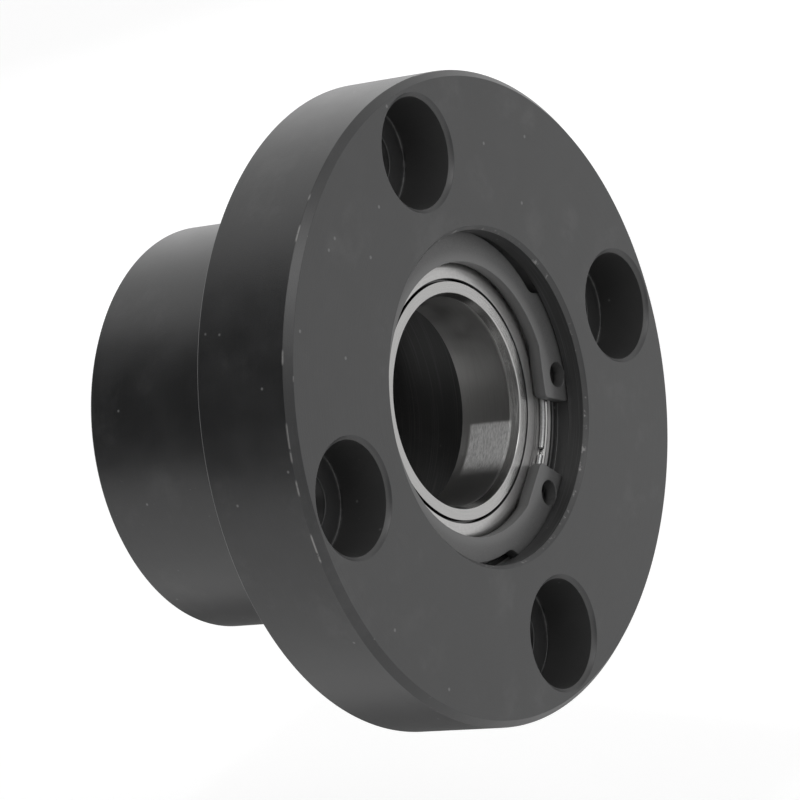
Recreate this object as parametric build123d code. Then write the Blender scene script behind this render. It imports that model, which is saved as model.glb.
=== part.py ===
from build123d import *
import os
from math import cos, radians, sin

# Flanged bearing housing with two shielded ball bearings, in millimetres.
# The bearing axis lies along Y, the front of the flange faces -Y, the pilot points to +Y
# and +Z is up. The origin is where the axis meets the flange's back face, the face that
# seats on a machine. Two bolt holes lie on the X axis and two on the Z axis.

# Housing, turned from one bar
flange_diameter = 47.0
flange_thickness = 8.0
flange_edge_chamfer = 0.5
pilot_diameter = 30.0
pilot_length = 17.0
pilot_edge_chamfer = 0.3
recess_edge_chamfer = 0.3
shoulder_height = 1.25
shoulder_edge_chamfer = 0.25

# Bolt holes with counterbores for M4 socket head screws
bolt_circle_diameter = 37.0
bolt_hole_count = 4
bolt_hole_diameter = 4.5
counterbore_diameter = 8.0
counterbore_depth = 4.2
counterbore_chamfer = 0.3

# Thin-section ball bearing: bore, outside and width, and how the balls fill the space between
bearing_bore = 15.0
bearing_outside = 24.0
bearing_width = 5.0
ball_share_of_section = 0.5292
ball_count = 14
race_conformity = 1.04
race_clearance = 0.01
ring_shoulder_share_of_ball = 0.73
bore_corner_radial = 0.3
bore_corner_axial = 0.75
outside_corner = 0.3
inner_face_corner = 0.28
bearing_seat_clearance = 0.01

# Shield, pressed from sheet, and the round snap wire that holds it
shield_thickness = 0.2
shield_depth = 0.3
shield_step = 0.18
shield_gap = 0.12
shield_rim_width = 0.67
shield_slope_width = 0.25
shield_rim_clearance = 0.05
shield_seat_width = 0.55
snap_wire_diameter = 0.42
snap_wire_clearance = 0.01
snap_wire_lip = 0.1
snap_wire_gap_angle = 3.0

# Ribbon cage in two halves, joined by rivets between the balls
cage_sheet = 0.2
cage_ball_clearance = 0.05
cage_shoulder_clearance = 0.32
rivet_diameter = 0.45
rivet_head_diameter = 0.8
rivet_head_height = 0.16
rivet_clearance = 0.01

# Circlip: lugs that reach outwards, a smooth inner edge and a body that thins beside the lugs
circlip_thickness = 1.2
circlip_setback = 1.8
circlip_groove_depth = 0.6
circlip_groove_play = 0.15
circlip_groove_clearance = 0.1
circlip_cover = 2.13
circlip_body_inset = 0.5
circlip_body_offset = 1.0
circlip_lug_start_angle = 14.0
circlip_lug_end_angle = 54.0
circlip_lug_nose = 0.42
circlip_hole_diameter = 1.7
circlip_hole_inset = 0.35
circlip_hole_angle = 23.4
circlip_step_fillet = 0.3
circlip_corner_fillet = 0.2
front_circlip_gap_angle = -36.0
rear_circlip_gap_angle = 60.0
front_wire_gap_angle = -42.0
rear_wire_gap_angle = 66.0

# Places worked out from the sizes above
seat_radius = bearing_outside / 2 + bearing_seat_clearance
shoulder_radius = seat_radius - shoulder_height
groove_radius = seat_radius + circlip_groove_depth
groove_width = circlip_thickness + circlip_groove_play
bearing_setback = circlip_setback + circlip_thickness
front_face = -flange_thickness
rear_face = pilot_length
front_bearing_face = front_face + bearing_setback
rear_bearing_face = rear_face - bearing_setback
front_shoulder = front_bearing_face + bearing_width
rear_shoulder = rear_bearing_face - bearing_width
front_bearing_centre = front_bearing_face + bearing_width / 2
rear_bearing_centre = rear_bearing_face - bearing_width / 2

section_height = (bearing_outside - bearing_bore) / 2
ball_radius = ball_share_of_section * section_height / 2
pitch_radius = (bearing_bore + bearing_outside) / 4
race_radius = ball_radius * race_conformity
ring_shoulder_offset = ring_shoulder_share_of_ball * ball_radius
inner_shoulder_radius = pitch_radius - ring_shoulder_offset
outer_shoulder_radius = pitch_radius + ring_shoulder_offset
half_width = bearing_width / 2


def turned(outline):
    """A turned solid: a closed outline of (radius, place along the axis) spun about the axis."""
    return revolve(make_face(Polyline(*outline, close=True)), Axis.Y)


def around(count, radius, first_angle=0.0):
    """Centres of a pattern on a circle about the axis, as (angle in degrees, x, z)."""
    angles = [first_angle + 360.0 * i / count for i in range(count)]
    return [(a, radius * cos(radians(a)), radius * sin(radians(a))) for a in angles]


def along_axis(radius, low, high):
    """A cylinder on the axis between two places along it."""
    return turned([(0, low), (radius, low), (radius, high), (0, high)])


def mirrored_outline(half):
    """An outline that is the same on both sides of the mid plane, from its front half."""
    return half + [(r, -y) for r, y in reversed(half)]


def make_housing():
    """Flange and pilot in one piece, bored from both ends down to a shoulder."""
    flange_radius = flange_diameter / 2
    pilot_radius = pilot_diameter / 2
    body = turned([
        (shoulder_radius, front_face),
        (flange_radius - flange_edge_chamfer, front_face),
        (flange_radius, front_face + flange_edge_chamfer),
        (flange_radius, -flange_edge_chamfer),
        (flange_radius - flange_edge_chamfer, 0),
        (pilot_radius, 0),
        (pilot_radius, rear_face - pilot_edge_chamfer),
        (pilot_radius - pilot_edge_chamfer, rear_face),
        (shoulder_radius, rear_face),
    ])
    for face, shoulder, inward in ((front_face, front_shoulder, 1), (rear_face, rear_shoulder, -1)):
        mouth = seat_radius + recess_edge_chamfer
        lip = face + inward * (bearing_setback - groove_width)
        stop = face + inward * bearing_setback
        body -= turned([
            (0, face),
            (mouth, face),
            (seat_radius, face + inward * recess_edge_chamfer),
            (seat_radius, lip),
            (groove_radius, lip),
            (groove_radius, stop),
            (seat_radius, stop),
            (seat_radius, shoulder),
            (shoulder_radius + shoulder_edge_chamfer, shoulder),
            (shoulder_radius, shoulder + inward * shoulder_edge_chamfer),
            (0, shoulder + inward * shoulder_edge_chamfer),
        ])
    hole_radius = bolt_hole_diameter / 2
    bore_radius = counterbore_diameter / 2
    floor = front_face + counterbore_depth
    cutter = turned([
        (0, front_face),
        (bore_radius + counterbore_chamfer, front_face),
        (bore_radius, front_face + counterbore_chamfer),
        (bore_radius, floor),
        (hole_radius, floor),
        (hole_radius, 0),
        (0, 0),
    ])
    for _, x, z in around(bolt_hole_count, bolt_circle_diameter / 2):
        body -= Pos(x, 0, z) * cutter
    return body


def polar(radius, angle):
    """The point (x, y) of a sketch at a radius and an angle in degrees."""
    return (radius * cos(radians(angle)), radius * sin(radians(angle)))


def corners_at(plate, angle, inside_radius):
    """Corners of a flat outline that lie within a degree of +angle or -angle, inside a radius."""
    found = []
    for corner in plate.vertices():
        place = Vector(corner.X, corner.Y, 0)
        turn = abs(Vector(1, 0, 0).get_signed_angle(place))
        if abs(turn - angle) < 1 and place.length < inside_radius * 0.999:
            found.append(corner)
    return found


def make_circlip(gap_angle, front):
    """Stamped ring: an eccentric body and two lug sectors, less the bore, the gap and the plier holes."""
    outer_radius = groove_radius - circlip_groove_clearance
    inner_radius = seat_radius - circlip_cover
    reach = 2 * outer_radius

    def sector(start, end):
        corners = [polar(reach, angle) for angle in (start, (start + end) / 2, end)]
        return make_face(Polyline((0, 0), *corners, close=True))

    edge = Circle(outer_radius)
    body = edge & (Pos(-circlip_body_offset, 0) * Circle(outer_radius - circlip_body_inset))
    lug_span = (circlip_lug_start_angle, circlip_lug_end_angle)
    lugs = edge & (sector(*lug_span) + mirror(sector(*lug_span), Plane.XZ))
    plate = body + lugs
    nose_radius = inner_radius - circlip_lug_nose
    nose_end = circlip_hole_angle + circlip_lug_start_angle
    nose = make_face(Polyline(
        polar(nose_radius, circlip_lug_start_angle),
        polar(outer_radius, circlip_lug_start_angle),
        polar(outer_radius, nose_end),
        polar(inner_radius, nose_end),
        close=True,
    )) & edge
    plate -= Circle(inner_radius)
    plate -= sector(-circlip_lug_start_angle, circlip_lug_start_angle)
    plate += nose + mirror(nose, Plane.XZ)
    hole_place = outer_radius - circlip_hole_inset - circlip_hole_diameter / 2
    for side in (-1, 1):
        plate -= Pos(polar(hole_place, side * circlip_hole_angle)) * Circle(circlip_hole_diameter / 2)
    plate = fillet(corners_at(plate, circlip_lug_end_angle, outer_radius), circlip_step_fillet)
    plate = fillet(corners_at(plate, circlip_lug_start_angle, reach), circlip_corner_fillet)
    start = front_face + circlip_setback if front else rear_face - bearing_setback
    ring = extrude(Plane.XZ * plate, amount=-circlip_thickness)
    return Pos(0, start, 0) * Rot(0, -gap_angle, 0) * ring


def make_inner_ring():
    """Inner ring: two shoulders and a deep groove for the balls, with a long lead at the bore."""
    bore = bearing_bore / 2
    ring = turned(mirrored_outline([
        (bore, -half_width + bore_corner_axial),
        (bore + bore_corner_radial, -half_width),
        (inner_shoulder_radius - inner_face_corner, -half_width),
        (inner_shoulder_radius, -half_width + inner_face_corner),
    ]))
    centre = pitch_radius - ball_radius - race_clearance + race_radius
    return ring - Torus(centre, race_radius, rotation=(90, 0, 0))


def snap_groove():
    """Radius of the groove that the snap wire springs into, and how deep the shield's seat lies."""
    radius = outer_shoulder_radius + shield_seat_width
    seat_depth = shield_depth + shield_step + shield_thickness
    return radius, seat_depth


def make_outer_ring():
    """Outer ring: ball groove between two shoulders, and a stepped seat at each face for a shield."""
    outside = bearing_outside / 2
    groove, seat_depth = snap_groove()
    lip = groove - snap_wire_lip
    ring = turned(mirrored_outline([
        (outside, -half_width + outside_corner),
        (outside - outside_corner, -half_width),
        (groove + snap_wire_lip, -half_width),
        (lip, -half_width + snap_wire_lip),
        (groove, -half_width + snap_wire_lip),
        (groove, -half_width + seat_depth),
        (outer_shoulder_radius, -half_width + seat_depth),
    ]))
    centre = pitch_radius + ball_radius + race_clearance - race_radius
    return ring - Torus(centre, race_radius, rotation=(90, 0, 0))


def make_shield(side):
    """Pressed shield: a flat face, a sloping step and a rim that sits in the outer ring."""
    groove, seat_depth = snap_groove()
    inner_edge = inner_shoulder_radius + shield_gap
    rim = groove - shield_rim_clearance
    slope_end = rim - shield_rim_width
    flat_end = slope_end - shield_slope_width
    outline = [
        (inner_edge, shield_depth),
        (flat_end, shield_depth),
        (slope_end, shield_depth + shield_step),
        (rim, shield_depth + shield_step),
        (rim, seat_depth),
        (slope_end - shield_thickness / 4, seat_depth),
        (flat_end - shield_thickness / 4, shield_depth + shield_thickness),
        (inner_edge, shield_depth + shield_thickness),
    ]
    return turned([(r, side * (half_width - depth)) for r, depth in outline])


def make_snap_wire(side, gap_angle):
    """Round spring wire, bent to an open ring, lying on the shield's rim."""
    groove, _ = snap_groove()
    wire_radius = snap_wire_diameter / 2
    centre = groove - snap_wire_clearance - wire_radius
    depth = shield_depth + shield_step - snap_wire_clearance - wire_radius
    section = Pos(centre, side * (half_width - depth)) * Circle(wire_radius)
    wire = revolve(section, Axis.Y, revolution_arc=360.0 - snap_wire_gap_angle)
    return Rot(0, -gap_angle - snap_wire_gap_angle / 2, 0) * wire


def make_balls():
    """The balls of one bearing, evenly spaced on the pitch circle."""
    return [Pos(x, 0, z) * Sphere(ball_radius) for _, x, z in around(ball_count, pitch_radius)]


def make_cage_half(side):
    """One half of the ribbon cage: flats between the balls and a rounded pocket over each ball."""
    pocket = ball_radius + cage_ball_clearance
    low = inner_shoulder_radius + cage_shoulder_clearance
    high = outer_shoulder_radius - cage_shoulder_clearance
    top = side * (pocket + 2 * cage_sheet)
    hole = rivet_diameter / 2 + rivet_clearance
    ribbon = turned([(low, 0), (high, 0), (high, side * cage_sheet), (low, side * cage_sheet)])
    band = turned([(low, 0), (high, 0), (high, top), (low, top)])
    domes = []
    cutters = []
    for _, x, z in around(ball_count, pitch_radius):
        domes.append(band & (Pos(x, 0, z) * Rot(90, 0, 0) * Sphere(pocket + cage_sheet)))
        cutters.append(Pos(x, 0, z) * Rot(90, 0, 0) * Sphere(pocket))
    for _, x, z in around(ball_count, pitch_radius, 180.0 / ball_count):
        cutters.append(Pos(x, 0, z) * along_axis(hole, -cage_sheet, cage_sheet))
    return ribbon + domes - cutters


def make_rivets():
    """The cage rivets: a shank through both halves with a head on each side."""
    shank = rivet_diameter / 2
    head = rivet_head_diameter / 2
    rivet = turned(mirrored_outline([
        (0, -cage_sheet - rivet_head_height),
        (head - rivet_head_height / 2, -cage_sheet - rivet_head_height),
        (head, -cage_sheet - rivet_head_height / 2),
        (head, -cage_sheet),
        (shank, -cage_sheet),
    ]))
    return [Pos(x, 0, z) * rivet for _, x, z in around(ball_count, pitch_radius, 180.0 / ball_count)]


def save(node, shape, place=0.0):
    """Write one node, moved along the axis to its place. A list is a group of separate solids."""
    if isinstance(shape, list):
        shape = Compound(children=[Pos(0, place, 0) * piece.solid() for piece in shape])
    else:
        shape = Pos(0, place, 0) * shape.solid()
    export_step(shape, f"parts/{node}.step")


os.makedirs("parts", exist_ok=True)
save("housing", make_housing())
save("front_circlip", make_circlip(front_circlip_gap_angle, True))
save("rear_circlip", make_circlip(rear_circlip_gap_angle, False))

bearings = (
    ("front", front_bearing_centre, front_wire_gap_angle),
    ("rear", rear_bearing_centre, rear_wire_gap_angle),
)
for name, place, wire_gap in bearings:
    save(f"{name}_outer_ring", make_outer_ring(), place)
    save(f"{name}_inner_ring", make_inner_ring(), place)
    save(f"{name}_balls", make_balls(), place)
    save(f"{name}_cage_front_half", make_cage_half(-1), place)
    save(f"{name}_cage_rear_half", make_cage_half(1), place)
    save(f"{name}_cage_rivets", make_rivets(), place)
    for facing, side in (("front", -1), ("rear", 1)):
        save(f"{name}_{facing}_shield", make_shield(side), place)
        save(f"{name}_{facing}_snap_wire", make_snap_wire(side, wire_gap), place)
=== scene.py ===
"""Looks of a flanged bearing housing with two shielded ball bearings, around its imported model.

Lengths are in millimetres until a piece's mesh is made, and in metres from there on.
"""

import bpy
import numpy as np
from mathutils import Matrix, Vector
from mathutils.geometry import tessellate_polygon


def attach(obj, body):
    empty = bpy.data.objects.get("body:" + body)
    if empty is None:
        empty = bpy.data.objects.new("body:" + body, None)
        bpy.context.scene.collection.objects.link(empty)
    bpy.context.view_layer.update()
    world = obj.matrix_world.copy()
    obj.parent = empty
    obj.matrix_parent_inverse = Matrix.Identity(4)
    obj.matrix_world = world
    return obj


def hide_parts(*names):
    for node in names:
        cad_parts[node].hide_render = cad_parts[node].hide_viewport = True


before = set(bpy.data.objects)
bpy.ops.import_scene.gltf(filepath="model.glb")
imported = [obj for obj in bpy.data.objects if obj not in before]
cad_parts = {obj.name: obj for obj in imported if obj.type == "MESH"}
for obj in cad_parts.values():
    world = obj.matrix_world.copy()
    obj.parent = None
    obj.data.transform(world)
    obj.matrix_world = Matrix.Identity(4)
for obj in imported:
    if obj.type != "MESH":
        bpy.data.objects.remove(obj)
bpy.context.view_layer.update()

# Housing: flange and pilot turned in one piece from steel bar and black oxide coated. The recess at each
# end holds a bearing and its circlip against a shoulder in the middle, and four counterbored holes in the
# flange take the screws. Handling has worn its outer corners to bright steel here and there.
flange_radius = 23.5
flange_front = -8.0
flange_chamfer = 0.5
flange_back_chamfer = 0.2
pilot_radius = 15.0
pilot_end = 17.0
edge_chamfer = 0.3
seat_radius = 12.01
groove_radius = 12.61
groove_width = 1.35
bearing_depth = 3.0
bearing_width = 5.0
front_bearing_face = flange_front + bearing_depth
rear_bearing_face = pilot_end - bearing_depth
front_shoulder = front_bearing_face + bearing_width
rear_shoulder = rear_bearing_face - bearing_width
shoulder_bore_radius = 10.76
shoulder_chamfer = 0.25
screw_circle_radius = 18.5
screw_hole_radius = 2.25
counterbore_radius = 4.0
counterbore_floor = -3.8
corner_radius = 0.07
around_steps = 360


def rounded(corners, steps=4):
    """Rounds a closed outline of (x, y, radius) corners, walked with the material on its left.

    Each corner becomes an arc tangent to both its edges: it starts radius * tan(turn / 2) before the
    corner, and its centre lies a radius to the inner side. Returns points and outward normals, each an
    array of (corner, step, 2).
    """
    outline = np.array(corners, float)
    points, radius = outline[:, :2], outline[:, 2:]
    arriving = points - np.roll(points, 1, axis=0)
    arriving /= np.linalg.norm(arriving, axis=1, keepdims=True)
    leaving = np.roll(arriving, -1, axis=0)
    crossed = arriving[:, 0] * leaving[:, 1] - arriving[:, 1] * leaving[:, 0]
    turn = np.arctan2(crossed, (arriving * leaving).sum(1))
    side = np.sign(turn)[:, None]
    first_normal = np.stack([arriving[:, 1], -arriving[:, 0]], axis=1)
    start = points - arriving * radius * np.tan(np.abs(turn) / 2)[:, None]
    centre = start - side * radius * first_normal
    first_angle = np.arctan2(first_normal[:, 1], first_normal[:, 0])
    angle = first_angle[:, None] + turn[:, None] * np.linspace(0, 1, steps)
    normals = np.stack([np.cos(angle), np.sin(angle)], axis=-1)
    return centre[:, None] + (side * radius)[:, None] * normals, normals


def patch(points, normals):
    """A surface over a grid of points, rows by columns, each with its normal: one quad for each cell."""
    rows, columns = points.shape[:2]
    index = np.arange(rows * columns).reshape(rows, columns)
    quads = np.stack([index[:-1, :-1], index[:-1, 1:], index[1:, 1:], index[1:, :-1]], axis=-1)
    return points.reshape(-1, 3), normals.reshape(-1, 3), quads.reshape(-1, 4)


def turned(points, normals, place=0.0, steps=around_steps):
    """Carries a (radius, height) profile about the Y axis: x = r cos a, z = r sin a, y = height + place."""
    angle = np.linspace(0, 2 * np.pi, steps + 1)
    flat_points, flat_normals = points.reshape(-1, 2), normals.reshape(-1, 2)

    def carried(profile, lift):
        radius, height = profile[:, :1], profile[:, 1:] + lift
        return np.stack([radius * np.cos(angle), height + 0 * angle, radius * np.sin(angle)], axis=-1)

    return patch(carried(flat_points, place), carried(flat_normals, 0.0))


def closed(points, normals):
    """The same outline with its first point repeated at the end, so that the surface closes."""
    flat_points, flat_normals = points.reshape(-1, 2), normals.reshape(-1, 2)
    return np.vstack([flat_points, flat_points[:1]]), np.vstack([flat_normals, flat_normals[:1]])


def piece(name, patches):
    """Makes one mesh object of patches: equal points are joined and faces turned to their normals."""
    millimetre = 0.001
    joining_steps = 1e5
    shortest_normal = 1e-12
    points = np.concatenate([p for p, _, _ in patches])
    normals = np.concatenate([n for _, n, _ in patches])
    starts = np.cumsum([0] + [len(p) for p, _, _ in patches])
    stepped = np.round(points * joining_steps)
    _, first, joined = np.unique(stepped, axis=0, return_index=True, return_inverse=True)
    joined = joined.reshape(-1)
    merged = points[first]
    shared = np.zeros_like(merged)
    np.add.at(shared, joined, normals)
    shared /= np.maximum(np.linalg.norm(shared, axis=1, keepdims=True), shortest_normal)
    loops, sizes = [], []
    for start, (_, _, faces) in zip(starts, patches):
        faces = joined[faces + start]
        corner = merged[faces]
        facing = np.cross(corner[:, 2] - corner[:, 0], corner[:, -1] - corner[:, 1])
        away = (facing * shared[faces].sum(1)).sum(1) < 0
        faces[away] = faces[away][:, ::-1]
        repeated = faces == np.roll(faces, -1, axis=1)
        whole = ~repeated.any(1)
        loops.append(faces[whole].reshape(-1))
        sizes.append(np.full(whole.sum(), faces.shape[1]))
        if faces.shape[1] == 4:
            folded = repeated.sum(1) == 1
            loops.append(faces[folded][~repeated[folded]])
            sizes.append(np.full(folded.sum(), 3))
    loops, sizes = np.concatenate(loops), np.concatenate(sizes)
    mesh = bpy.data.meshes.new(name)
    mesh.vertices.add(len(merged))
    mesh.vertices.foreach_set("co", (merged * millimetre).reshape(-1))
    mesh.loops.add(len(loops))
    mesh.loops.foreach_set("vertex_index", loops.astype(np.int32))
    mesh.polygons.add(len(sizes))
    mesh.polygons.foreach_set("loop_start", np.concatenate([[0], np.cumsum(sizes)[:-1]]).astype(np.int32))
    mesh.update(calc_edges=True)
    mesh.validate()
    mesh.shade_smooth()
    mesh.normals_split_custom_set_from_vertices(shared)
    made = bpy.data.objects.new(name, mesh)
    bpy.context.scene.collection.objects.link(made)
    return made


housing_outline = [
    (seat_radius + edge_chamfer, flange_front),
    (flange_radius - flange_chamfer, flange_front),
    (flange_radius, flange_front + flange_chamfer),
    (flange_radius, -flange_back_chamfer),
    (flange_radius - flange_back_chamfer, 0),
    (pilot_radius, 0),
    (pilot_radius, pilot_end - edge_chamfer),
    (pilot_radius - edge_chamfer, pilot_end),
    (seat_radius + edge_chamfer, pilot_end),
    (seat_radius, pilot_end - edge_chamfer),
    (seat_radius, rear_bearing_face + groove_width),
    (groove_radius, rear_bearing_face + groove_width),
    (groove_radius, rear_bearing_face),
    (seat_radius, rear_bearing_face),
    (seat_radius, rear_shoulder),
    (shoulder_bore_radius + shoulder_chamfer, rear_shoulder),
    (shoulder_bore_radius, rear_shoulder - shoulder_chamfer),
    (shoulder_bore_radius, front_shoulder + shoulder_chamfer),
    (shoulder_bore_radius + shoulder_chamfer, front_shoulder),
    (seat_radius, front_shoulder),
    (seat_radius, front_bearing_face),
    (groove_radius, front_bearing_face),
    (groove_radius, front_bearing_face - groove_width),
    (seat_radius, front_bearing_face - groove_width),
    (seat_radius, flange_front + edge_chamfer),
]
housing_points, housing_normals = rounded([(r, y, corner_radius) for r, y in housing_outline])
rim_corners = slice(1, 5)
pilot_corners = slice(5, len(housing_outline))
recess_mouth_points = np.vstack([housing_points[pilot_corners].reshape(-1, 2), housing_points[0]])
recess_mouth_normals = np.vstack([housing_normals[pilot_corners].reshape(-1, 2), housing_normals[0]])


def hole_edge(inner, outer, side_steps=24):
    """Edge of a quarter ring about +X, walked once: along the big arc, in at its side, back along the small
    arc, and out again."""
    sweep = np.radians(np.linspace(-45, 45, around_steps // 4 + 1))
    arc = np.stack([np.cos(sweep), np.sin(sweep)], axis=1)
    side = np.linspace(outer, inner, side_steps + 2)[1:-1, None]
    return np.vstack([outer * arc, side * arc[-1], inner * arc[::-1], side[::-1] * arc[0], outer * arc[:1]])


def holed_ring(inner, outer, hole_radius, direction, height, facing, quarter, rows=9):
    """A flat quarter ring with a round hole, filled by spokes from the hole's edge to the quarter's edge.

    Along each spoke the distance and the angle about the Y axis change evenly, so that no two spokes cross.
    """
    edge = hole_edge(inner, outer)
    spoke = np.linspace(0, 1, rows)[:, None]
    rim = np.array([screw_circle_radius, 0]) + hole_radius * direction
    rim_angle, edge_angle = np.arctan2(rim[:, 1], rim[:, 0]), np.arctan2(edge[:, 1], edge[:, 0])
    distance = np.hypot(*rim.T) * (1 - spoke) + np.hypot(*edge.T) * spoke
    angle = rim_angle * (1 - spoke) + edge_angle * spoke
    flat = np.stack([distance * np.cos(angle), distance * np.sin(angle)], axis=-1)
    flat[0], flat[-1] = rim, edge
    points = np.insert(flat, 1, height, axis=-1)
    normals = np.broadcast_to([0.0, facing, 0.0], points.shape)
    return patch(quarter_turned(points, quarter), normals)


def quarter_turned(points, quarter):
    """Points turned about the Y axis by a number of right angles, from +X towards +Z."""
    cos, sin = np.cos(quarter * np.pi / 2), np.sin(quarter * np.pi / 2)
    x, y, z = np.moveaxis(points, -1, 0)
    return np.stack([x * cos - z * sin, y, x * sin + z * cos], axis=-1)


face_inner, face_outer = housing_points[0][-1, 0], housing_points[1][0, 0]
back_inner, back_outer = housing_points[5][0, 0], housing_points[4][-1, 0]
spokes = hole_edge(face_inner, face_outer) - [screw_circle_radius, 0]
spokes /= np.linalg.norm(spokes, axis=1, keepdims=True)
beyond = 2 * counterbore_radius
hole_points, hole_normals = (array[1:-1].reshape(-1, 2) for array in rounded([
    (beyond, 0, 0),
    (screw_hole_radius, 0, corner_radius),
    (screw_hole_radius, counterbore_floor, corner_radius),
    (counterbore_radius, counterbore_floor, corner_radius),
    (counterbore_radius, flange_front + edge_chamfer, corner_radius),
    (counterbore_radius + edge_chamfer, flange_front, corner_radius),
    (beyond, flange_front, 0),
]))
housing_patches = [
    turned(housing_points[rim_corners], housing_normals[rim_corners]),
    turned(recess_mouth_points, recess_mouth_normals),
]
for quarter in range(4):
    wall_points = np.stack([
        screw_circle_radius + hole_points[:, :1] * spokes[:, 0],
        hole_points[:, 1:] + 0 * spokes[:, 0],
        hole_points[:, :1] * spokes[:, 1],
    ], axis=-1)
    wall_normals = np.stack([
        hole_normals[:, :1] * spokes[:, 0],
        hole_normals[:, 1:] + 0 * spokes[:, 0],
        hole_normals[:, :1] * spokes[:, 1],
    ], axis=-1)
    housing_patches += [
        patch(quarter_turned(wall_points, quarter), quarter_turned(wall_normals, quarter)),
        holed_ring(face_inner, face_outer, hole_points[-1, 0], spokes, flange_front, -1.0, quarter),
        holed_ring(back_inner, back_outer, hole_points[0, 0], spokes, 0.0, 1.0, quarter),
    ]
housing = piece("turned_housing", housing_patches)
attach(housing, "housing")
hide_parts("housing")


class Shade:
    """A socket of a material. Sums, differences and products of sockets add Math nodes."""

    def __init__(self, tree, socket=None):
        self.tree = tree
        self.socket = socket

    def node(self, kind, settings=None, inputs=None, output=0):
        """Adds a node, sets its settings, then its sockets to values or links, and gives one output."""
        made = self.tree.nodes.new("ShaderNode" + kind)
        for name, value in (settings or {}).items():
            setattr(made, name, value)
        for socket, value in (inputs or {}).items():
            if isinstance(value, Shade):
                self.tree.links.new(value.socket, made.inputs[socket])
            else:
                made.inputs[socket].default_value = value
        return Shade(self.tree, made.outputs[output])

    def math(self, operation, *values):
        return self.node("Math", {"operation": operation}, dict(enumerate(values)))

    def __add__(self, other):
        return self.math("ADD", self, other)

    def __radd__(self, other):
        return self.math("ADD", other, self)

    def __sub__(self, other):
        return self.math("SUBTRACT", self, other)

    def __rsub__(self, other):
        return self.math("SUBTRACT", other, self)

    def __mul__(self, other):
        return self.math("MULTIPLY", self, other)

    def __rmul__(self, other):
        return self.math("MULTIPLY", other, self)

    def __abs__(self):
        return self.math("ABSOLUTE", self)

    def between(self, low, high):
        """0 where the value is under low, 1 where it is over high, and smooth between."""
        return self.node("MapRange", {"interpolation_type": "SMOOTHSTEP"}, {0: self, 1: low, 2: high})

    def within(self, rise_start, rise_end, fall_start, fall_end):
        """1 where the value is inside a range, 0 outside it, with a smooth rise and fall at its ends."""
        return self.between(rise_start, rise_end) - self.between(fall_start, fall_end)

    def mix(self, colour_a, colour_b):
        """A colour that goes from colour_a to colour_b as this value goes from 0 to 1. Sockets 6 and 7 and
        output 2 are the ones that carry colours."""
        return self.node("Mix", {"data_type": "RGBA"}, {0: self, 6: colour_a, 7: colour_b}, 2)


def finish(name, **constants):
    """Starts a material: its Principled shader with constant sockets, and the place on the object in
    millimetres."""
    millimetres_in_metre = 1000.0
    material = bpy.data.materials.new(name)
    material.use_nodes = True
    tree = material.node_tree
    tree.nodes.clear()
    shader = tree.nodes.new("ShaderNodeBsdfPrincipled")
    output = tree.nodes.new("ShaderNodeOutputMaterial")
    tree.links.new(shader.outputs[0], output.inputs[0])
    for socket, value in constants.items():
        shader.inputs[socket.replace("_", " ").title().replace("Ior", "IOR")].default_value = value
    place = Shade(tree).node("TexCoord", output="Object")
    scaled = place.node("VectorMath", {"operation": "SCALE"}, {0: place, 3: millimetres_in_metre})
    return material, shader, scaled


def feed(shader, **values):
    """Links worked-out values to the Principled shader's sockets."""
    for socket, value in values.items():
        value.tree.links.new(value.socket, shader.inputs[socket.replace("_", " ").title()])


def grey(value):
    """A colour that is the same in red, green and blue."""
    return value, value, value, 1


def noise(place, scale, detail=2.0, roughness=0.5, stretch=(1, 1, 1)):
    """Smooth random value from 0 to 1, its grains about 1 / scale millimetres wide, drawn out by stretch."""
    drawn = place.node("VectorMath", {"operation": "MULTIPLY"}, {0: place, 1: stretch})
    grains = {"Vector": drawn, "Scale": scale, "Detail": detail, "Roughness": roughness}
    return place.node("TexNoise", {}, grains)


def split(place):
    """The x, y and z of a place."""
    parts = place.node("SeparateXYZ", inputs={0: place})
    return [Shade(place.tree, output) for output in parts.socket.node.outputs]


def axis_distance(place):
    """The height along the Y axis and the distance from it."""
    _, height, _ = split(place)
    flat = place.node("VectorMath", {"operation": "MULTIPLY"}, {0: place, 1: (1, 0, 1)})
    return height, place.node("VectorMath", {"operation": "LENGTH"}, {0: flat}, 1)


def angle_about(x, z):
    """Angle about the Y axis in degrees, from x towards z."""
    return z.math("ARCTAN2", z, x) * (180 / np.pi)


def turning_marks(place, height, radius, pitch, drift):
    """Random value that changes quickly across the tool's path and slowly along it, as a lathe leaves it."""
    across = place.node("CombineXYZ", inputs={1: (height + radius) * (1 / pitch)})
    along = {0: place, 1: (drift, 0, drift), 2: across}
    moved = place.node("VectorMath", {"operation": "MULTIPLY_ADD"}, along)
    return place.node("TexNoise", {}, {"Vector": moved, "Scale": 1.0, "Detail": 2.0, "Roughness": 0.6})


def nearest_mark(place, marks):
    """Distance from the nearest of some marks on the flange's face, each given as its x and z."""
    nearest = None
    for x, z in marks:
        mark = (x, flange_front, z)
        distance = place.node("VectorMath", {"operation": "DISTANCE"}, {0: place, 1: mark}, 1)
        nearest = distance if nearest is None else nearest.math("MINIMUM", nearest, distance)
    return nearest


def screw_hole_distance(place):
    """Distance from the nearest screw hole's axis: the four holes fold into one when x and z lose their
    signs and the larger of them is taken as the way out."""
    x, _, z = split(place)
    x, z = abs(x), abs(z)
    along = x.math("MAXIMUM", x, z) - screw_circle_radius
    across = x.math("MINIMUM", x, z)
    return x.math("SQRT", along * along + across * across)


# Bright nicks on the rim's front edge, each from one angle to another in degrees from -X towards +Z.
rim_nicks = ((-6.3, -1.3), (5.6, 8.0), (11.2, 17.5), (27.3, 29.5), (48.5, 51.5), (56.7, 57.7))
nick_blur = 0.4
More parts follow.
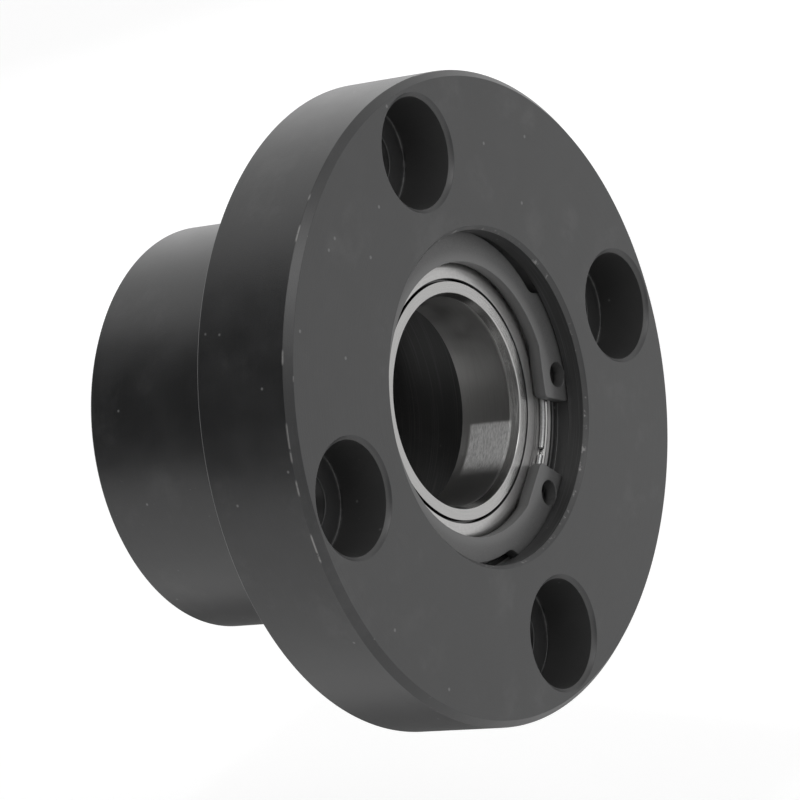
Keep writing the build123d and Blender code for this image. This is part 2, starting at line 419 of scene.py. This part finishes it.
# Pale specks and smears on the flange's face, each at its x and z.
face_specks = (
    (-12.05, 16.46), (-13.06, 15.97), (-18.68, 12.22), (-14.83, 8.78), (-18.59, -9.77), (-14.81, -16.01),
    (7.91, 16.49), (13.08, 15.25), (10.35, 11.06), (-1.99, 22.6), (-6.24, 16.67), (-8.84, 13.89),
)
face_smears = ((14.43, 6.7), (15.85, 7.9), (14.18, 16.31))
dark_oxide = (0.0095, 0.0097, 0.0102, 1)
light_oxide = (0.0185, 0.0187, 0.0195, 1)
bare_steel = (0.22, 0.218, 0.216, 1)
dust = grey(0.16)
oxide, oxide_shader, oxide_place = finish("black_oxide", ior=1.6)
height, radius = axis_distance(oxide_place)
x, _, z = split(oxide_place)
clock = angle_about(0 - x, z)
from_screw = screw_hole_distance(oxide_place)
grain = noise(oxide_place, 9.0, 3.0, 0.6)
cloud = noise(oxide_place, 0.35, 3.0, 0.55)
bruise = noise(oxide_place, 0.45, 5.0, 0.65)
marks = turning_marks(oxide_place, height, radius, 0.09, 0.12)

# Where the place lies: in the recess, in its groove, in a screw hole or on a counterbore's floor.
in_recess = 1 - radius.between(seat_radius + 0.09, seat_radius + 0.39)
in_groove = radius.within(12.3, 12.4, 12.8, 13.0) * height.within(-7.6, -7.2, 16.2, 16.6)
in_hole = 1 - from_screw.between(counterbore_radius + 0.05, counterbore_radius + 0.25)
behind = height.between(-0.5, -0.2)
inside = in_recess.math("MAXIMUM", in_recess, in_hole - behind)
on_floor = in_hole * (1 - abs(height - counterbore_floor).between(0.08, 0.25))
rim_edge = abs(radius - flange_radius) + abs(height - (flange_front + flange_chamfer))
face_edge = abs(radius - (flange_radius - flange_chamfer)) + abs(height - flange_front)
recess_edge = abs(radius - (seat_radius + 0.1)) + abs(height - (flange_front + 0.2))
floor_edge = abs(from_screw - counterbore_radius) + abs(height - counterbore_floor)

# Bright wear: the rim is rubbed at its nicks and, away from them, where noise says so.
rubbed = noise(oxide_place, 0.22, 6.0, 0.6).between(0.56, 0.6) * abs(clock - 25).between(45, 55)
for start, end in rim_nicks:
    rubbed = rubbed + clock.within(start - nick_blur, start + nick_blur, end - nick_blur, end + nick_blur)
worn = (1 - rim_edge.between(0.03, 0.12)) * rubbed * noise(oxide_place, 1.2, 3.0, 0.7).between(0.3, 0.45)
scuffed = (1 - face_edge.between(0.03, 0.1)) * noise(oxide_place, 0.5, 5.0, 0.65).between(0.62, 0.66)
chipped = (1 - recess_edge.between(0.08, 0.3)) * noise(oxide_place, 1.6, 5.0, 0.7).between(0.57, 0.64)
bright = worn.math("MAXIMUM", worn, scuffed * 0.5)
bright = bright.math("MAXIMUM", bright, chipped * 0.9)

# Pale dust and dirt: specks from cells everywhere but on the face, and set specks and smears on the face.
speck_cells = oxide_place.node("TexVoronoi", {}, {"Vector": oxide_place, "Scale": 0.55})
speck = (1 - speck_cells.between(0.02, 0.08)) * noise(oxide_place, 0.5, 1.0, 0.5).between(0.46, 0.52)
speck = speck * height.between(flange_front + 0.01, flange_front + 0.2)
nearest = nearest_mark(oxide_place, face_specks)
speck = speck.math("MAXIMUM", speck, (1 - nearest.between(0.06, 0.17)) * (0.4 + grain * 0.8))
smear = (1 - nearest_mark(oxide_place, face_smears).between(0.2, 1.5)) * bruise.between(0.4, 0.65)
smudge = noise(oxide_place, 0.16, 6.0, 0.65).between(0.52, 0.72) * (1 - inside)
scratch = noise(oxide_place, 2.4, 3.0, 0.7, (1, 0.35, 1)).between(0.68, 0.76) * in_hole
burr = (1 - floor_edge.between(0.1, 0.22)) * bruise.between(0.4, 0.6)
streak = in_recess * marks.between(0.5, 0.72)

# The coating: the groove is painted greyer than elsewhere, a painted light in its shade, palest at its low
# side and less so at the circlip's gap.
in_gap = clock.within(-166, -158, -132, -126)
low_side = clock.within(-100, -92, -60, -50)
# Painted light on the groove's shaded floor: grey, paler at the low side.
painted_groove_light = low_side.mix(grey(0.13), grey(0.4))
coating = (cloud * 0.6 + grain * 0.25 + marks * 0.15).between(0.3, 0.8).mix(dark_oxide, light_oxide)
# Hollows are painted paler than the face, a painted lift of the shade in them: less so in the recess and
# least on the counterbore floors.
coating = (inside - in_recess * 0.45 - on_floor * 0.6).mix(coating, grey(0.04))
coating = (in_groove * (0.7 - in_gap * 0.4)).mix(coating, painted_groove_light)
coating = (smudge * 0.1 + smear * 0.12).mix(coating, dust)
coating = (speck * 0.8 + burr * 0.5 + streak * 0.25 + scratch * 0.35).mix(coating, dust)
relief = grain * 0.6 + marks * 0.5 - bright
feed(oxide_shader,
     base_color=bright.mix(coating, bare_steel),
     metallic=bright,
     roughness=0.3 + cloud * 0.08 + grain * 0.05 + marks * 0.03 + inside * 0.12,
     normal=oxide_place.node("Bump", {}, {"Height": relief, "Distance": 0.00002, "Strength": 0.5}))
housing.data.materials.append(oxide)

# Circlips: stamped from spring steel sheet and phosphate blackened. The two lugs reach outwards into the
# groove and carry the plier holes, the inner edge is smooth, and the body is off centre and thin beside the
# lugs.
circlip_thickness = 1.2
circlip_outer = 12.51
circlip_inner = 9.88
circlip_nose = 0.42
circlip_body_radius = 12.01
circlip_body_offset = 1.0
lug_start = 14.0
lug_end = 54.0
plier_hole_radius = 0.93
plier_hole_centre = 11.31
plier_hole_angle = 23.4
gap_slant = 0.8
gap_corner = 0.5
lug_corner = 0.6
step_corner = 1.0
nose_turn = 1
nose_corner = 0.45
circlip_edge = 0.07
circlip_rolled_edge = 0.28
front_gap_angle = -36.0
rear_gap_angle = 60.0


def polar(radius, degrees):
    """Points of a plane at a radius and an angle, which may be arrays."""
    angle = np.radians(degrees)
    return np.stack(np.broadcast_arrays(radius * np.cos(angle), radius * np.sin(angle)), axis=-1)


def circlip_outline():
    """Half of the circlip's outline above its line of symmetry, then the same below.

    The body's edge is a circle about a point off the axis, no further out than the circlip's outer circle,
    and in polar form it is r = -offset cos a + sqrt(radius^2 - offset^2 sin^2 a). The lug follows the outer
    circle from the gap to the step. The inner edge is round, but for the nose at the lug.
    """
    step_angles = np.linspace(lug_end, 180, 120)
    cos = np.cos(np.radians(step_angles))
    sideways = circlip_body_offset ** 2 * (1 - cos ** 2)
    body = -circlip_body_offset * cos + np.sqrt(circlip_body_radius ** 2 - sideways)
    body = np.minimum(body, circlip_outer)
    lug_angles = np.linspace(lug_start, lug_end, 30)
    nose_end = plier_hole_angle + lug_start
    inner_angles = np.linspace(180, nose_end, 120)
    half = [(*polar(circlip_outer, lug_start - gap_slant), gap_corner)]
    half += [(*point, 0) for point in polar(circlip_outer, lug_angles[2:-3])]
    half += [(*polar(circlip_outer, lug_end - 1), lug_corner)]
    half += [(*polar(body[3], step_angles[3]), step_corner)]
    half += [(*point, 0) for point in polar(body[8:], step_angles[8:])]
    inner = [(*point, 0) for point in polar(circlip_inner, inner_angles)]
    inner += [(*polar(circlip_inner - circlip_nose, lug_start + nose_turn), nose_corner)]
    lower = [(x, -y, r) for x, y, r in reversed(half[:-1])]
    lower_inner = [(x, -y, r) for x, y, r in reversed(inner[1:])]
    return half + lower + lower_inner + inner


def stamped(outlines, thickness, edge, rolled_edge):
    """A flat sheet piece in the X-Z plane, from y = 0 to its thickness, its faces filled between outlines.

    The wall follows each outline. Its front edge is rounded by a small quarter circle, and its back edge is
    rolled over by the die, as a quarter ellipse that is longer along the wall than across the face.
    """
    roll_length = 1.6 * rolled_edge
    turn = np.linspace(0, np.pi / 2, 6)
    out = np.concatenate([-edge + edge * np.sin(turn), -rolled_edge + rolled_edge * np.cos(turn)])
    lift = np.concatenate([edge - edge * np.cos(turn), thickness - roll_length + roll_length * np.sin(turn)])
    tilt_out = np.concatenate([np.sin(turn), np.cos(turn)])
    tilt_lift = np.concatenate([-np.cos(turn), np.sin(turn)])
    patches, loops = [], []
    for points, normals in outlines:
        wall = points + out[:, None, None] * normals
        wall_points = np.insert(wall, 1, 0.0, axis=-1)
        wall_points[..., 1] = lift[:, None]
        wall_normals = np.insert(tilt_out[:, None, None] * normals, 1, 0.0, axis=-1)
        wall_normals[..., 1] = tilt_lift[:, None]
        patches.append(patch(wall_points, wall_normals))
        loops.append(wall_points[[0, -1], :-1])
    for side, facing in ((0, -1.0), (1, 1.0)):
        corners = np.concatenate([loop[side] for loop in loops])
        fill = tessellate_polygon([[Vector((x, z, 0)) for x, _, z in loop[side]] for loop in loops])
        patches.append((corners, np.broadcast_to([0.0, facing, 0.0], corners.shape), np.array(fill)))
    return patches


def placed(patches, shift=0.0, turn_degrees=0.0, flip=False):
    """Patches turned about the Y axis from +X towards +Z, moved along Y, perhaps mirrored end for end."""
    cos, sin = np.cos(np.radians(turn_degrees)), np.sin(np.radians(turn_degrees))
    moved = []
    for points, normals, faces in patches:
        turned_pair = []
        for array, lift in ((points, shift), (normals, 0.0)):
            x, y, z = array.T
            y = -y if flip else y
            turned_pair.append(np.stack([x * cos - z * sin, y + lift, x * sin + z * cos], axis=1))
        moved.append((*turned_pair, faces))
    return moved


outline_points, outline_normals = closed(*rounded(circlip_outline(), steps=5))
hole_turn = np.linspace(0, 360, 49)
circlip_outlines = [(outline_points, outline_normals)]
for side in (-1, 1):
    centre = polar(plier_hole_centre, side * plier_hole_angle)
    circlip_outlines.append((centre + polar(plier_hole_radius, hole_turn), -polar(1.0, hole_turn)))
circlip_patches = stamped(circlip_outlines, circlip_thickness, circlip_edge, circlip_rolled_edge)

phosphate, phosphate_shader, phosphate_place = finish("phosphated_spring_steel", ior=1.6)
speck = noise(phosphate_place, 12.0, 3.0, 0.6)
height, radius = axis_distance(phosphate_place)
middle = (flange_front + pilot_end) / 2
outer_face = (pilot_end - flange_front) / 2 - bearing_depth + circlip_thickness
# The circlip's deep face and the deep part of its walls and plier holes are painted nearly black as painted
# shade.
painted_deep_shade = 1 - abs(height - middle).between(outer_face - circlip_thickness, outer_face - 0.25)
# A band of the face along the inner edge is painted paler as a painted highlight, except where the shade is
# painted.
painted_edge_highlight = (1 - (radius - circlip_inner).between(0.1, 1.0)) * (1 - painted_deep_shade)
steel = speck.between(0.3, 0.7).mix(grey(0.07), grey(0.095))
feed(phosphate_shader,
     base_color=(painted_deep_shade * 0.7).mix(painted_edge_highlight.mix(steel, grey(0.13)), grey(0.015)),
     roughness=0.4 + speck * 0.12,
     normal=phosphate_place.node("Bump", {}, {"Height": speck, "Distance": 0.00002, "Strength": 0.5}))
for node, gap_angle, start, flip in (
    ("front_circlip", front_gap_angle, front_bearing_face - circlip_thickness, False),
    ("rear_circlip", rear_gap_angle, rear_bearing_face + circlip_thickness, True),
):
    clip = piece(node + "_stamping", placed(circlip_patches, start, gap_angle, flip))
    clip.data.materials.append(phosphate)
    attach(clip, "housing")
    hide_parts(node)

# Bearing rings: through-hardened steel, ground on the bore, the faces and the outside and finely polished.
# The inner ring has a long lead at its bore and a small step at each shoulder for the shield's lip, and the
# outer ring a stepped seat for the shield at each face. A patch in the front ring's bore is painted bright
# as a painted reflection of a soft box.
half_width = bearing_width / 2
front_centre = front_bearing_face + half_width
rear_centre = rear_bearing_face - half_width
bearings = (("front", front_centre), ("rear", rear_centre))
bore_radius = 7.5
lead_length = 0.8
lead_rise = 0.285
lead_corner = 0.4
face_outside = 8.61
lip_step_depth = 0.46
inner_shoulder = 8.881
outer_shoulder = 10.619
ring_outside = 12.0
outside_chamfer = 0.3
outside_corner = 0.1
pitch_radius = 9.75
race_radius = 1.238
race_bottom = 8.1
race_edge = 0.841
race_arc = 0.97 * race_radius
race_corner = 0.02
shield_groove = 11.169
groove_lip = 0.1
groove_lip_depth = 0.16
seat_depth = 0.68
fine_corner = 0.03
inner_outline = [
    (bore_radius + lead_rise, -half_width, 0.1), (face_outside, -half_width, fine_corner),
    (face_outside, -half_width + lip_step_depth, 0.04),
    (inner_shoulder, -half_width + lip_step_depth, fine_corner),
    (inner_shoulder, -race_edge, race_corner), (race_bottom, 0, race_arc),
    (inner_shoulder, race_edge, race_corner),
    (inner_shoulder, half_width - lip_step_depth, fine_corner),
    (face_outside, half_width - lip_step_depth, 0.04),
    (face_outside, half_width, fine_corner), (bore_radius, half_width, fine_corner),
    (bore_radius, -half_width + lead_length, lead_corner),
]
outer_outline = [
    (shield_groove + groove_lip, -half_width, fine_corner),
    (ring_outside - outside_chamfer, -half_width, outside_corner),
    (ring_outside, -half_width + outside_chamfer, outside_corner),
    (ring_outside, half_width - outside_chamfer, outside_corner),
    (ring_outside - outside_chamfer, half_width, outside_corner),
    (shield_groove + groove_lip, half_width, fine_corner),
    (shield_groove - groove_lip, half_width - groove_lip, fine_corner),
    (shield_groove, half_width - groove_lip_depth, fine_corner),
    (shield_groove, half_width - seat_depth, fine_corner),
    (outer_shoulder, half_width - seat_depth, fine_corner),
    (outer_shoulder, race_edge, race_corner), (2 * pitch_radius - race_bottom, 0, race_arc),
    (outer_shoulder, -race_edge, race_corner),
    (outer_shoulder, -half_width + seat_depth, fine_corner),
    (shield_groove, -half_width + seat_depth, fine_corner),
    (shield_groove, -half_width + groove_lip_depth, fine_corner),
    (shield_groove - groove_lip, -half_width + groove_lip, fine_corner),
]
ground, ground_shader, ground_place = finish("ground_bearing_steel")
height, radius = axis_distance(ground_place)
x, _, z = split(ground_place)
angle = angle_about(x, z)
marks = turning_marks(ground_place, height, radius, 0.045, 0.5)
in_bore = 1 - radius.between(bore_radius, bore_radius + 0.1)
# Painted reflection: a mottled bright patch in the front ring's bore, less metallic and rougher there.
painted_reflection_patch = angle.within(-68, -54, -34, -31.5) * in_bore * height.within(-4.6, -4.3, -0.9, -0.6)
painted_reflection_mottle = noise(ground_place, 4.0, 4.0, 0.7, (0.6, 2.5, 0.6))
fingered = noise(ground_place, 0.5, 3.0, 0.6).between(0.1, 0.7)
handled = angle.within(-12, 14, 45, 80) * in_bore * fingered
# The outer ring is painted paler and less metallic outside the shield's seat, a painted lift of the shade
# where its face shows between the circlip and the groove.
painted_fill_outer = radius.between(11.25, 11.4)
from_centre = abs(abs(height - middle) - (rear_centre - front_centre) / 2)
# The inner ring's step and shoulder under the shield, seen down the gap, are painted nearly black as painted
# shade.
painted_gap_shade = radius.within(face_outside - 0.02, face_outside - 0.005, 8.95, 9.0)
painted_gap_shade = painted_gap_shade * (1 - from_centre.between(half_width - 0.08, half_width - 0.03))
steel = marks.between(0.3, 0.7).mix((0.37, 0.367, 0.362, 1), (0.41, 0.407, 0.402, 1))
steel = painted_fill_outer.mix(steel, (0.7, 0.695, 0.69, 1))
steel = (painted_reflection_patch * painted_reflection_mottle.between(0.15, 0.75)).mix(steel, (0.95, 0.945, 0.94, 1))
feed(ground_shader,
     base_color=painted_gap_shade.mix(steel, grey(0.07)),
     metallic=1 - painted_reflection_patch * 0.5 - painted_fill_outer * 0.6 - handled * 0.3,
     roughness=0.16 + marks * 0.06 + in_bore * 0.18 + painted_reflection_patch * 0.15,
     normal=ground_place.node("Bump", {}, {"Height": marks, "Distance": 0.00001, "Strength": 0.6}))
for bearing, place in bearings:
    if bearing == "rear":
        # The rear ring is turned end for end, so that its long lead faces outwards too.
        inner_outline = [(r, -y, corner) for r, y, corner in reversed(inner_outline)]
    for part, outline, body in (
        ("inner_ring", inner_outline, f"{bearing}_inner_race"),
        ("outer_ring", outer_outline, "housing"),
    ):
        ring = piece(f"{bearing}_{part}_ground", [turned(*closed(*rounded(outline, steps=6)), place)])
        ring.data.materials.append(ground)
        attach(ring, body)
        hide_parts(f"{bearing}_{part}")

# Shields: pressed from bright sheet steel, one at each face of a bearing. The flat crest lies almost flush
# with the rings' faces, a slope leads down from it, and the rim lies in the outer ring's seat.
shield_sheet = 0.2
shield_crest = 0.03
shield_seat = 0.4
shield_inner = 8.8
shield_rim = shield_groove - 0.05
shield_slope_start = 9.82
shield_slope_end = shield_rim - 0.67
slope_shift = 0.03
pressed, pressed_shader, pressed_place = finish("bright_pressed_sheet", metallic=0.75)
pressed_grain = noise(pressed_place, 4.0, 3.0, 0.6)
height, radius = axis_distance(pressed_place)
drawn = turning_marks(pressed_place, height, radius, 0.05, 0.6)
steel = (pressed_grain * 0.5 + drawn * 0.5).between(0.3, 0.7)
steel = steel.mix((0.44, 0.435, 0.43, 1), (0.52, 0.515, 0.51, 1))
# The shield's inner edge is painted dark, a painted shade along the gap beside the inner ring.
painted_gap_edge_shade = 1 - radius.between(shield_inner + 0.02, shield_inner + 0.05)
feed(pressed_shader,
     base_color=painted_gap_edge_shade.mix(steel, grey(0.07)),
     roughness=0.26 + pressed_grain * 0.08,
     normal=pressed_place.node("Bump", {}, {"Height": drawn, "Distance": 0.00001, "Strength": 0.5}))
shield_outline = [
    (shield_inner, shield_crest, 0.04), (shield_inner, shield_crest + shield_sheet, 0.03),
    (shield_slope_start - slope_shift, shield_crest + shield_sheet, 0.8),
    (shield_slope_end - slope_shift, shield_seat + shield_sheet, 0.2),
    (shield_rim, shield_seat + shield_sheet, 0.04), (shield_rim, shield_seat, 0.04),
    (shield_slope_end, shield_seat, 0.3), (shield_slope_start, shield_crest, 1.0),
]
for bearing, place in bearings:
    for facing, side in (("front", -1), ("rear", 1)):
        outline = [(r, side * (half_width - depth), corner) for r, depth, corner in shield_outline]
        if side < 0:
            outline = outline[::-1]
        sheet = turned(*closed(*rounded(outline, steps=5)), place)
        shield = piece(f"{bearing}_{facing}_pressed_shield", [sheet])
        shield.data.materials.append(pressed)
        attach(shield, "housing")
        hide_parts(f"{bearing}_{facing}_shield")

# Snap wires: round spring wire bent to an open ring, one on each shield's rim. Each is sprung into the outer
# ring's seat, and its two ends stand a little apart.
wire_radius = 0.21
wire_clearance = 0.01
wire_ring_radius = shield_groove - wire_clearance - wire_radius
wire_depth = shield_seat - wire_clearance - wire_radius
wire_gap = 3.0
front_wire_angle = -42.0
rear_wire_angle = 66.0
wire_steel, wire_shader, wire_place = finish("drawn_spring_wire", metallic=1.0)
drawing = noise(wire_place, 6.0, 2.0, 0.5)
feed(wire_shader,
     base_color=drawing.between(0.3, 0.7).mix(grey(0.26), grey(0.34)),
     roughness=0.26 + drawing * 0.12)


def wire_ring(place, gap_angle):
    """A round section carried about the Y axis and open at the gap. Its ends are closed by drawing the
    section in to a point."""
    along = np.radians(gap_angle + wire_gap / 2 + np.linspace(0, 360 - wire_gap, 361))
    along = np.concatenate([along[:1], along, along[-1:]])
    shrink = np.ones(len(along))
    shrink[[0, -1]] = 0
    section = np.linspace(0, 2 * np.pi, 25)[:, None]
    out, lift = np.cos(section), np.sin(section)
    radius = wire_ring_radius + wire_radius * shrink * out
    height = place + wire_radius * shrink * lift
    points = np.stack([radius * np.cos(along), height, radius * np.sin(along)], axis=-1)
    normals = np.stack([out * np.cos(along), lift + 0 * along, out * np.sin(along)], axis=-1)
    return patch(points, normals)


for bearing, place in bearings:
    gap_angle = front_wire_angle if bearing == "front" else rear_wire_angle
    for facing, side in (("front", -1), ("rear", 1)):
        wire_place = place + side * (half_width - wire_depth)
        wire = piece(f"{bearing}_{facing}_wire", [wire_ring(wire_place, gap_angle)])
        wire.data.materials.append(wire_steel)
        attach(wire, "housing")
        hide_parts(f"{bearing}_{facing}_snap_wire")

# Balls: fourteen in each bearing, of bearing steel, hardened and polished to a mirror. The cage keeps them
# evenly spaced on the pitch circle.
ball_radius = 1.1907
ball_count = 14
ball_steel, ball_shader, ball_place = finish("polished_ball_steel", metallic=1.0)
ball_polish = noise(ball_place, 2.0, 2.0, 0.5)
feed(ball_shader,
     base_color=ball_polish.between(0.3, 0.7).mix(grey(0.6), grey(0.66)),
     roughness=0.06 + ball_polish * 0.06)
ball_angles = np.arange(ball_count) * 360 / ball_count


def spheres(place):
    """Balls on the pitch circle, each a grid of latitude and longitude about an axis along Y."""
    latitude = np.linspace(-np.pi / 2, np.pi / 2, 33)[:, None]
    longitude = np.linspace(0, 2 * np.pi, 49)
    normals = np.stack([
        np.cos(latitude) * np.cos(longitude),
        np.sin(latitude) + 0 * longitude,
        np.cos(latitude) * np.sin(longitude),
    ], axis=-1)
    centres = np.insert(polar(pitch_radius, ball_angles), 1, place, axis=1)
    return [patch(centre + ball_radius * normals, normals) for centre in centres]


for bearing, place in bearings:
    balls = piece(f"{bearing}_polished_balls", spheres(place))
    balls.data.materials.append(ball_steel)
    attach(balls, f"{bearing}_ball_cage")
    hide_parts(f"{bearing}_balls")

# Cages: two ribbons pressed from sheet steel and waved over the balls. They are held together by a small
# rivet in each flat between two balls.
cage_sheet = 0.2
cage_clearance = 0.32
cage_low = inner_shoulder + cage_clearance
cage_high = outer_shoulder - cage_clearance
pocket_radius = ball_radius + 0.05
rivet_shank = 0.225
rivet_head = 0.4
rivet_crown = 0.32
rivet_brim = 0.28
rivet_top = 0.36
cage_steel, cage_shader, cage_place = finish("pressed_cage_steel", metallic=1.0)
cage_grain = noise(cage_place, 5.0, 3.0, 0.6)
feed(cage_shader,
     base_color=cage_grain.between(0.3, 0.7).mix((0.36, 0.355, 0.35, 1), (0.44, 0.435, 0.43, 1)),
     roughness=0.3 + cage_grain * 0.14)


def waved_ribbon(side, place):
    """Half a cage over radius and angle: its height is the larger of the flat's and that of the sphere over
    the nearest ball, sqrt(sphere radius^2 - distance from the ball's axis^2)."""
    radius = np.linspace(cage_low, cage_high, 11)[:, None]
    angle = np.linspace(0, 2 * np.pi, ball_count * 40 + 1)
    from_ball = (angle + np.pi / ball_count) % (2 * np.pi / ball_count) - np.pi / ball_count
    reach = radius ** 2 + pitch_radius ** 2 - 2 * radius * pitch_radius * np.cos(from_ball)

    def layer(low, sphere):
        dome = np.sqrt(np.maximum(sphere ** 2 - reach, 0))
        height = np.maximum(dome, low)
        over = dome > low
        lean = np.where(over, 1 / np.maximum(height, 1e-6), 0)
        points = np.stack([radius * np.cos(angle), side * height, radius * np.sin(angle)], axis=-1)
        centre_angle = angle - from_ball
        slope = np.stack([
            (points[..., 0] - pitch_radius * np.cos(centre_angle)) * lean, side * np.ones_like(height),
            (points[..., 2] - pitch_radius * np.sin(centre_angle)) * lean,
        ], axis=-1)
        return points + [0, place, 0], slope / np.linalg.norm(slope, axis=-1, keepdims=True)

    top, top_normals = layer(cage_sheet, pocket_radius + cage_sheet)
    under, under_normals = layer(0.0, pocket_radius)
    outward = np.stack([np.cos(angle), 0 * angle, np.sin(angle)], axis=-1)
    walls = []
    for row, facing in ((0, -1), (-1, 1)):
        wall = np.stack([under[row], top[row]])
        walls.append(patch(wall, np.broadcast_to(facing * outward, wall.shape)))
    return [patch(top, top_normals), patch(under, -under_normals)] + walls


rivet_half = [
    (0, -rivet_top, 0), (rivet_crown, -rivet_top, 0.06), (rivet_head, -rivet_brim, 0.03),
    (rivet_head, -cage_sheet, 0.02), (rivet_shank, -cage_sheet, 0.01),
]
rivet_outline = rivet_half + [(r, -y, corner) for r, y, corner in reversed(rivet_half)]
rivet_points, rivet_normals, rivet_faces = turned(*rounded(rivet_outline, steps=3), steps=24)
for bearing, place in bearings:
    for half, side in (("front", -1), ("rear", 1)):
        ribbon = piece(f"{bearing}_{half}_cage_ribbon", waved_ribbon(side, place))
        ribbon.data.materials.append(cage_steel)
        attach(ribbon, f"{bearing}_ball_cage")
        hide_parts(f"{bearing}_cage_{half}_half")
    rivet_centres = np.insert(polar(pitch_radius, ball_angles + 180 / ball_count), 1, place, axis=1)
    rivets = piece(f"{bearing}_rivets", [(rivet_points + centre, rivet_normals, rivet_faces)
                                         for centre in rivet_centres])
    rivets.data.materials.append(cage_steel)
    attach(rivets, f"{bearing}_ball_cage")
    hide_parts(f"{bearing}_cage_rivets")

# Camera: a long lens, to the left of the flange's front face and a little above it, rolled as the object
# leans in the picture.
camera_place = Vector((-0.221311, -0.169936, 0.073212))
camera_right = Vector((0.52281, -0.8031, -0.28584))
camera_up = Vector((0.37093, -0.08759, 0.92452))
camera_data = bpy.data.cameras.new("camera")
camera_data.lens = 179.33
camera_data.sensor_width = 36.0
camera_data.clip_start = 0.01
camera = bpy.data.objects.new("camera", camera_data)
camera.matrix_world = Matrix.Translation(camera_place) @ Matrix(
    (camera_right, camera_up, camera_right.cross(camera_up))).transposed().to_4x4()
bpy.context.scene.collection.objects.link(camera)
bpy.context.scene.camera = camera

# Floor: a wide sheet under the object, painted matt and pale. It is white to the camera and in reflections,
# but for the object's shadow.
floor_height = -0.05
floor_reach = 3
floor_corners = [(-floor_reach, -floor_reach), (floor_reach, -floor_reach), (floor_reach, floor_reach),
                 (-floor_reach, floor_reach)]
floor_mesh = bpy.data.meshes.new("floor")
floor_mesh.from_pydata([(x, y, floor_height) for x, y in floor_corners], [], [(0, 1, 2, 3)])
floor = bpy.data.objects.new("floor", floor_mesh)
bpy.context.scene.collection.objects.link(floor)
floor_paint, floor_shader, floor_place = finish("floor_paint", roughness=0.8, emission_color=(1, 1, 1, 1))
seen = floor_place.node("LightPath", output="Is Camera Ray")
mirrored = Shade(seen.tree, seen.socket.node.outputs["Is Glossy Ray"])
feed(floor_shader,
     base_color=noise(floor_place, 0.01).between(0, 1).mix(grey(0.8), grey(0.82)),
     emission_strength=(seen + mirrored) * 0.4)
floor.data.materials.append(floor_paint)

# Lights: an even bright room, two soft boxes, and cards that only reflections show. A black flag keeps the
# left of the rim and pilot dark, and grey and pale cards tone the other reflections.


def aimed(place, aim):
    """A matrix that stands at a place with its -Z axis towards a point."""
    facing = (Vector(aim) - Vector(place)).to_track_quat("-Z", "Y")
    return Matrix.Translation(place) @ facing.to_matrix().to_4x4()


def soft_lamp(name, place, aim, width, height, power):
    """A rectangular soft light at a place, turned to face a point."""
    lamp = bpy.data.lights.new(name, "AREA")
    lamp.shape = "RECTANGLE"
    lamp.size, lamp.size_y, lamp.energy = width, height, power
    holder = bpy.data.objects.new(name, lamp)
    holder.matrix_world = aimed(place, aim)
    holder.visible_camera = False
    bpy.context.scene.collection.objects.link(holder)


soft_lamp("front_soft_box", (-0.1, -0.39, 0.375), (0, 0, 0), 0.16, 0.16, 0.36)
soft_lamp("back_soft_box", (0.38, 0.27, 0.19), (0, 0, 0), 0.45, 0.3, 0.2)
card_distance = 0.35
card_height = floor_height + 0.001


def cloth(name, dark, light):
    """A matt cloth with a faint cloudy tone."""
    material, shader, place = finish(name, roughness=1.0)
    feed(shader, base_color=noise(place, 0.01).between(0, 1).mix(grey(dark), grey(light)))
    return material


def towards(azimuth, elevation):
    """A point at the cards' distance from the object: azimuth 0 is -Y and 90 is +X, elevation 90 is +Z."""
    azimuth, elevation = np.radians(azimuth), np.radians(elevation)
    flat = np.cos(elevation)
    return card_distance * Vector((flat * np.sin(azimuth), -flat * np.cos(azimuth), np.sin(elevation)))


def reflected_card(name, corners, fabric):
    """A flat card between four corners, which only reflections show."""
    mesh = bpy.data.meshes.new(name)
    mesh.from_pydata(corners, [], [(0, 1, 2, 3)])
    card = bpy.data.objects.new(name, mesh)
    bpy.context.scene.collection.objects.link(card)
    card.data.materials.append(fabric)
    card.visible_camera = False
    card.visible_diffuse = False
    card.visible_shadow = False


flag_cloth = cloth("flag_cloth", 0.01, 0.012)
grey_cloth = cloth("grey_cloth", 0.36, 0.38)
pale_cloth = cloth("pale_cloth", 0.66, 0.7)
reflected_card("left_flag", [
    towards(-105, -2), towards(-162, -2), towards(-168, 50), towards(-105, 48),
], flag_cloth)
reflected_card("under_flag", [
    (-0.012, 0.004, card_height), (0.05, 0.004, card_height),
    (0.07, 0.07, card_height), (-0.005, 0.07, card_height),
], grey_cloth)
reflected_card("camera_side_card", [
    towards(-24, -14), towards(-80, -14), towards(-80, 22), towards(-24, 22),
], pale_cloth)
reflected_card("overhead_card", [
    towards(-10, 60), towards(60, 52), towards(100, 72), towards(-50, 78),
], grey_cloth)
room_light = 0.65
world = bpy.data.worlds.new("studio")
world.use_nodes = True
bpy.context.scene.world = world
world_tree = world.node_tree
world_tree.nodes.clear()
seen = Shade(world_tree).node("LightPath", output="Is Camera Ray")
mirrored = Shade(world_tree, seen.socket.node.outputs["Is Glossy Ray"])
glow = room_light + (1 - room_light) * (seen + mirrored)
background = seen.node("Background", inputs={0: grey(1), 1: glow})
world_output = world_tree.nodes.new("ShaderNodeOutputWorld")
world_tree.links.new(background.socket, world_output.inputs[0])
bpy.context.scene.view_settings.view_transform = "Standard"
